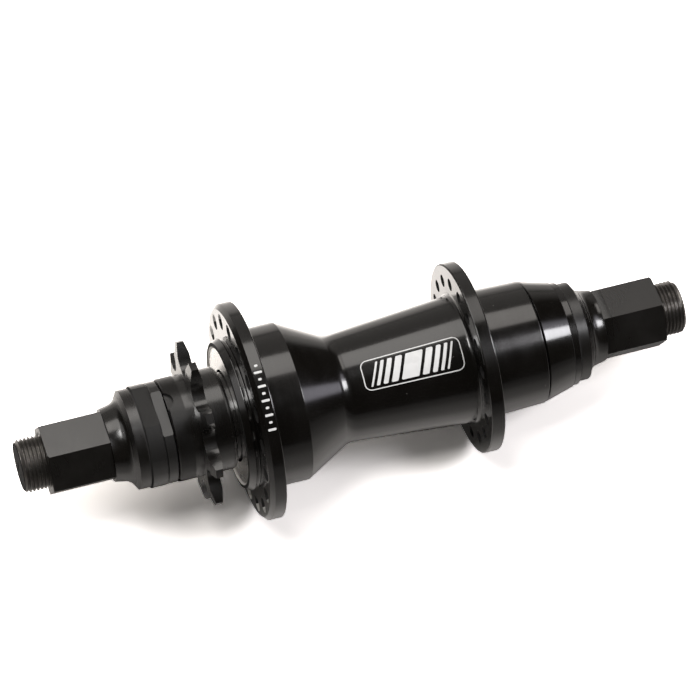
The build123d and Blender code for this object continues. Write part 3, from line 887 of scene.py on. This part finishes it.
def flat_print(name, loops):
    """A flat filled print from closed outlines. An outline inside another is a hole."""
    curve = bpy.data.curves.new(name, "CURVE")
    curve.dimensions = "2D"
    curve.fill_mode = "BOTH"
    for points in loops:
        spline = curve.splines.new("POLY")
        spline.points.add(len(points) - 1)
        for target, point in zip(spline.points, points):
            target.co = (point[0], point[1], 0, 1)
        spline.use_cyclic_u = True
    holder = bpy.data.objects.new(name, curve)
    bpy.context.scene.collection.objects.link(holder)
    bpy.context.view_layer.update()
    data = bpy.data.meshes.new_from_object(holder)
    bpy.data.objects.remove(holder)
    return data


print("flat print helpers ready")

# %% [markdown]
# The ink itself is a satin white, laid on with a screen. It is thin enough for the black to grey it
# slightly, in patches, and it has a faint mesh texture.

# %% Print material
ink_white = (0.88, 0.88, 0.87)
ink_greyed = (0.80, 0.80, 0.79)
ink_roughness = 0.38
ink_smudge = 0.1
ink_grain_mm = 0.002

print_white, tree, shader = new_material("print_white")
touch = use_group(tree, handling, patch_mm=3.0, dust=0.0)
ink_colour = blend_colours(tree, touch["Smudge"], ink_white, ink_greyed)
ink_gloss = calc(tree, "MULTIPLY_ADD", touch["Smudge"], ink_smudge, ink_roughness)
feed(tree, shader.inputs["Base Color"], ink_colour)
feed(tree, shader.inputs["Roughness"], ink_gloss)
raise_surface(tree, shader, calc(tree, "MULTIPLY", touch["Grain"], ink_grain_mm))
print("ink made")

# %% [markdown]
# Wrapping a flat print bends it, so it needs enough faces to bend along. Each point then goes on
# the shell's skin, which a ray towards the axle finds, and a hair above it.

# %% Wrap the prints
shell_tree = BVHTree.FromObject(nodes["hub_shell"], bpy.context.evaluated_depsgraph_get())
print_lift = 0.03 * mm
ray_start_radius = 60 * mm


def cut_in_strips(mesh, step, size):
    """Cuts a flat mesh along both directions, so that it can bend."""
    for axis in (0, 1):
        count = int(size[axis] / step[axis]) + 1
        for index in range(-count, count + 1):
            place_at = [0, 0, 0]
            normal = [0, 0, 0]
            place_at[axis] = index * step[axis]
            normal[axis] = 1
            whole = mesh.verts[:] + mesh.edges[:] + mesh.faces[:]
            bmesh.ops.bisect_plane(mesh, geom=whole, plane_co=place_at, plane_no=normal)


def surface_radius(x, angle):
    """How far the shell's skin is from the axle there, found with a ray towards the axle."""
    outward = Vector((0, cos(angle), sin(angle)))
    hit = shell_tree.ray_cast(Vector((x, 0, 0)) + outward * ray_start_radius, -outward)
    return sqrt(hit[0].y ** 2 + hit[0].z ** 2)


def wrapped_print(name, loops, x_middle, angle_middle, size, step, radius_for_angle):
    """Wraps a flat print round the shell and gives it a body and a material."""
    data = flat_print(name, loops)
    mesh = bmesh.new()
    mesh.from_mesh(data)
    bpy.data.meshes.remove(data)
    bmesh.ops.triangulate(mesh, faces=mesh.faces)
    cut_in_strips(mesh, step, size)
    for vert in mesh.verts:
        x = x_middle + vert.co.x * mm
        angle = angle_middle - vert.co.y * mm / radius_for_angle
        radius = surface_radius(x, angle) + print_lift
        vert.co = (x, radius * cos(angle), radius * sin(angle))
    bmesh.ops.recalc_face_normals(mesh, faces=mesh.faces)
    sideways = Vector((0, 1, 1))
    outward = [face.normal.dot(face.calc_center_median() * sideways) for face in mesh.faces]
    if sum(outward) < 0:
        bmesh.ops.reverse_faces(mesh, faces=mesh.faces)
    made = object_from(mesh, name)
    made.data.shade_smooth()
    made.data.materials.append(print_white)
    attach(made, "shell")
    print(f"{name}: {len(made.data.polygons)} faces")


# %% [markdown]
# The panel is a thin rounded frame round a row of slanted bars, wide in the middle and narrow at
# the ends. It is a plain pattern with no meaning.

# %% Barrel panel
panel_size = (26.2, 8.45)
panel_corner = 1.9
panel_line = 0.28
panel_gap = 0.75
panel_middle_x = 13.0 * mm
panel_middle_angle = radians(112.4)
panel_radius = 15.5 * mm
panel_cuts = (1.2, 0.6)
bar_widths = (0.55, 0.9, 1.3, 1.8, 4.6, 1.8, 1.3, 0.9, 0.55)
bar_gap = 0.85
bar_slant = 2.6
bar_corner = 0.3

inside = (panel_size[0] - 2 * panel_line, panel_size[1] - 2 * panel_line)
panel_loops = [
    rounded_loop(rectangle(*panel_size), panel_corner),
    rounded_loop(rectangle(*inside), panel_corner - panel_line),
]
bar_height = inside[1] - 2 * panel_gap
bar_start = -(sum(bar_widths) + bar_gap * (len(bar_widths) - 1)) / 2
for width in bar_widths:
    foot = bar_start - bar_slant / 2
    head = bar_start + bar_slant / 2
    corners = [
        (foot, -bar_height / 2),
        (foot + width, -bar_height / 2),
        (head + width, bar_height / 2),
        (head, bar_height / 2),
    ]
    panel_loops.append(rounded_loop(corners, min(bar_corner, width / 4), steps=3))
    bar_start += width + bar_gap
wrapped_print(
    "barrel_panel", panel_loops, panel_middle_x, panel_middle_angle,
    panel_size, panel_cuts, panel_radius,
)

# %% [markdown]
# The rim marks are strokes and dots in turn, like those on a scale.

# %% Rim marks
mark_count = 10
mark_spacing = 1.86
mark_heights = (2.1, 0.9)
mark_width = 0.62
mark_corner = 0.25
mark_cuts = (1.1, 0.6)
rim_middle_x = -28.2 * mm
rim_middle_angle = radians(113.3)
rim_radius = 28.4 * mm

mark_loops = []
for index in range(mark_count):
    around = (index - (mark_count - 1) / 2) * mark_spacing
    corners = rectangle(mark_heights[index % 2], mark_width, (0, around))
    mark_loops.append(rounded_loop(corners, mark_corner, steps=4))
wrapped_print(
    "rim_marks", mark_loops, rim_middle_x, rim_middle_angle,
    (mark_heights[0], mark_count * mark_spacing), mark_cuts, rim_radius,
)

# %% [markdown]
# ## The floor and the room
#
# The hub lies on both flanges, and they differ in size, so seen from the axle the floor slopes by
# 3.2 degrees. The floor is white paper, lit as the hub is. A catalogue picture is exposed until the
# paper burns out to white, which leaves only the heart of the shadow. Doing that with the lamps
# would burn out the hub's own whites too. So the paper's colour is what changes: to the camera it
# is nearly three times as bright as paper, while the light that it throws back on the hub is that
# of plain paper. Beside the nut at the cog's end it is brighter still to the camera, which is
# painted light that thins the nut's shadow there.

# %% Floor
flange_contact_low = Vector((-28.6, 0, -28.4)) * mm
flange_contact_high = Vector((30.8, 0, -25.1)) * mm
slope = flange_contact_high - flange_contact_low
floor_tilt = atan2(slope.z, slope.x)
floor_gap = 0.05 * mm

mesh = bmesh.new()
bmesh.ops.create_grid(mesh, x_segments=8, y_segments=8, size=6.0)
floor = object_from(mesh, "floor")
floor.rotation_euler = (0, -floor_tilt, 0)
floor.location = flange_contact_low - Vector((0, 0, floor_gap))
print(f"floor tilted {floor_tilt * 180 / pi:.2f} degrees")

# %% [markdown]
# In reflections the paper's colour is painted light and shade. It is painted bright close behind
# the hub, where the key box aims, and painted darker towards the front, which stands in the shade
# of the studio, and towards both sides; a band close in front is painted a little lighter. Each
# zone below is where one change along the floor begins and ends, in millimetres. Positive Y is
# behind the hub.

# %% Paper
paper_white = (0.80, 0.80, 0.80)
paper_to_camera = (2.24, 2.17, 2.12)
painted_light_beside_nut = (3.50, 3.40, 3.34)
beside_nut_zone = (-20, -50)
mirrored_tint = (1.0, 0.965, 0.925)
far_in_front, in_front, in_front_zone = 0.17, 0.37, (-170, -45)
close_in_front, close_zone, under_zone = 0.30, (-55, -30), (-4, -22)
far_behind, behind_zone = 0.62, (-20, 100)
painted_bright_patch, nearing_zone, leaving_zone = 1.18, (-22, 38), (88, 40)
side_fall, right_zone, left_zone = -0.32, (60, 130), (-80, -120)


def share_in(tree, along, zone):
    """Rises from 0 to 1 between the two ends of a zone, given in millimetres."""
    return step_up(tree, along, zone[0] * mm, zone[1] * mm)


def seen_by(tree):
    """1 where the camera looks straight at it, and 1 where metal or glass does."""
    path = place(tree, "ShaderNodeLightPath").outputs
    mirror = calc(tree, "MAXIMUM", path["Is Glossy Ray"], path["Is Transmission Ray"])
    return path["Is Camera Ray"], mirror


paper = bpy.data.materials.new("paper_floor")
paper.use_nodes = True
tree = paper.node_tree
tree.nodes.clear()
straight, mirror = seen_by(tree)
# In reflections the paper's colour is painted light and shade that changes with its place.
spot = xyz_of(tree, "Object")
coming = share_in(tree, spot["Y"], in_front_zone)
front = blend_values(tree, coming, far_in_front, in_front)
under = share_in(tree, spot["Y"], under_zone)
close = calc(tree, "MULTIPLY", share_in(tree, spot["Y"], close_zone), under)
front = calc(tree, "MULTIPLY_ADD", close, close_in_front, front)
even = blend_values(tree, share_in(tree, spot["Y"], behind_zone), front, far_behind)
leaving = share_in(tree, spot["Y"], leaving_zone)
patch = calc(tree, "MULTIPLY", share_in(tree, spot["Y"], nearing_zone), leaving)
in_line = calc(tree, "MULTIPLY_ADD", patch, painted_bright_patch, even)
far_left = share_in(tree, spot["X"], left_zone)
far_aside = calc(tree, "MAXIMUM", share_in(tree, spot["X"], right_zone), far_left)
painted_mirror_light = calc(tree, "MULTIPLY", in_line, calc(tree, "MULTIPLY_ADD", far_aside, side_fall, 1.0))
grey = place(tree, "ShaderNodeCombineColor")
for socket, share in zip(grey.inputs, mirrored_tint):
    feed(tree, socket, calc(tree, "MULTIPLY", painted_mirror_light, share))
plain = blend_colours(tree, mirror, paper_white, grey.outputs[0])
# Painted light: to the camera the paper is brighter beside the cog end's nut, thinning its shadow.
painted_light_near_nut = share_in(tree, spot["X"], beside_nut_zone)
lit_paper = blend_colours(tree, painted_light_near_nut, paper_to_camera, painted_light_beside_nut)
matt = place(tree, "ShaderNodeBsdfDiffuse")
feed(tree, matt.inputs["Color"], blend_colours(tree, straight, plain, lit_paper))
ending = place(tree, "ShaderNodeOutputMaterial")
tree.links.new(matt.outputs[0], ending.inputs[0])
floor.data.materials.append(paper)
print("paper made")

# %% [markdown]
# The world is the room. A direction in it is two angles: `turn` towards +X, and `lift`, which
# grows from +Y over the top to -Y. How far a ray turns towards a direction is a dot product, so
# boards of light need no image either.

# %% Directions in the room
def room_direction(turn, lift):
    """The unit vector of two angles in degrees."""
    flat = cos(radians(turn))
    return Vector((sin(radians(turn)), flat * cos(radians(lift)), flat * sin(radians(lift))))


def facing_share(tree, looking, direction, low, high):
    """Rises from 0 to 1 as a ray turns towards a direction, from one dot product to another."""
    dot = place(tree, "ShaderNodeVectorMath", operation="DOT_PRODUCT")
    tree.links.new(looking, dot.inputs[0])
    dot.inputs[1].default_value = direction
    return step_up(tree, dot.outputs["Value"], low, high)


def edge_share(tree, looking, turn, lift, angle, blur):
    """Rises from 0 to 1 over a straight edge, from one angle to the next, both in degrees."""
    limits = (sin(radians(angle)), sin(radians(angle + blur)))
    return facing_share(tree, looking, room_direction(turn, lift), *limits)


print("room helpers ready")

# %% [markdown]
# To the camera the room is white. Reflections see a studio: a pale wall behind the hub, and dark
# walls on the camera's side, which is what makes black look black. Four white boards stand in it.
# One carries the key box's band on to the right end. Of the round ones, the first lights the lip,
# the second softens the spots of the right box, and the third lights the taper. Light from the
# world that falls on matt surfaces stays an even pale grey.

# %% World
white = (1.0, 1.0, 1.0)
dark_room = (0.029, 0.026, 0.022)
back_wall = (0.275, 0.26, 0.245)
back_wall_lift = 10
back_wall_limits = (0.72, 0.90)
room_fill = (0.135, 0.133, 0.130)
key_board = (2.1, 2.0, 1.9)
key_board_lifts = (46, 80)
key_board_turns = (12, 24)
key_board_blur = 2
key_edge_blur = 0.03
round_boards = (
    (-44, 80, 18, 26, (0.82, 0.80, 0.79)),
    (41, 102, 5, 17, (1.25, 1.21, 1.33)),
    (67, 113, 4, 9, (1.90, 1.85, 2.05)),
)

world = bpy.data.worlds.new("studio")
bpy.context.scene.world = world
world.use_nodes = True
tree = world.node_tree
tree.nodes.clear()
looking = place(tree, "ShaderNodeTexCoord").outputs["Generated"]
wall = facing_share(tree, looking, room_direction(0, back_wall_lift), *back_wall_limits)
room = blend_colours(tree, wall, dark_room, back_wall)

board = 1.0
for lift in (key_board_lifts[0] + 90, key_board_lifts[1] - 90):
    level = facing_share(tree, looking, room_direction(0, lift), -key_edge_blur, key_edge_blur)
    board = calc(tree, "MULTIPLY", board, level)
from_left = edge_share(tree, looking, 90, 0, key_board_turns[0], key_board_blur)
to_right = edge_share(tree, looking, -90, 0, -key_board_turns[1], key_board_blur)
board = calc(tree, "MULTIPLY", board, calc(tree, "MULTIPLY", from_left, to_right))
room = blend_colours(tree, board, room, key_board)

for turn, lift, inner, outer, colour in round_boards:
    limits = (cos(radians(outer)), cos(radians(inner)))
    board = facing_share(tree, looking, room_direction(turn, lift), *limits)
    room = blend_colours(tree, board, room, colour)

straight, mirror = seen_by(tree)
soft = blend_colours(tree, mirror, room_fill, room)
background = place(tree, "ShaderNodeBackground")
feed(tree, background.inputs["Color"], blend_colours(tree, straight, soft, white))
ending = place(tree, "ShaderNodeOutputWorld")
tree.links.new(background.outputs[0], ending.inputs[0])
print(f"room made, with {len(round_boards) + 1} boards")

# %% [markdown]
# ## Lamps
#
# Three soft boxes do the work. The key box hangs above and behind the hub. It lays one clear band
# of light along every round face and throws the shadow forward. Two smaller and brighter boxes hang
# to the right and to the left, where straight faces don't mirror them. Only hollows and tapers do,
# and that is where the bright spots are: at the waist, on the cones and at the foot of each nut.
#
# A lamp's power alone says little about how bright it looks in a reflection. That is its radiance:
# the power divided by pi and by the lamp's area. So the lamps are given by radiance.

# %% Lamps
soft_boxes = {
    "key_box": ((-0.18, 0.405, 0.795), 0.76, 0.56, 2.05, (1.0, 0.965, 0.925)),
    "right_box": ((0.455, -0.245, 0.590), 0.36, 0.22, 10.8, (0.985, 0.975, 1.0)),
    "left_box": ((-0.240, -0.040, 0.760), 0.34, 0.24, 8.5, (1.0, 0.985, 0.97)),
}

for name, (position, width, height, radiance, colour) in soft_boxes.items():
    lamp = bpy.data.lights.new(name, "AREA")
    lamp.shape = "RECTANGLE"
    lamp.size = width
    lamp.size_y = height
    lamp.energy = radiance * pi * width * height
    lamp.color = colour
    holder = bpy.data.objects.new(name, lamp)
    bpy.context.scene.collection.objects.link(holder)
    toward = Vector(position).normalized()
    across = (Vector((1, 0, 0)) - toward * toward.x).normalized()
    axes = (across, toward.cross(across), toward)
    holder.matrix_world = Matrix(axes).transposed().to_4x4()
    holder.matrix_world.translation = position
    print(f"{name}: {lamp.energy:.2f} W")

# %% [markdown]
# ## Finish
#
# The colours are meant as written, so the view transform is Standard.

# %% Finish
bpy.context.scene.view_settings.view_transform = "Standard"
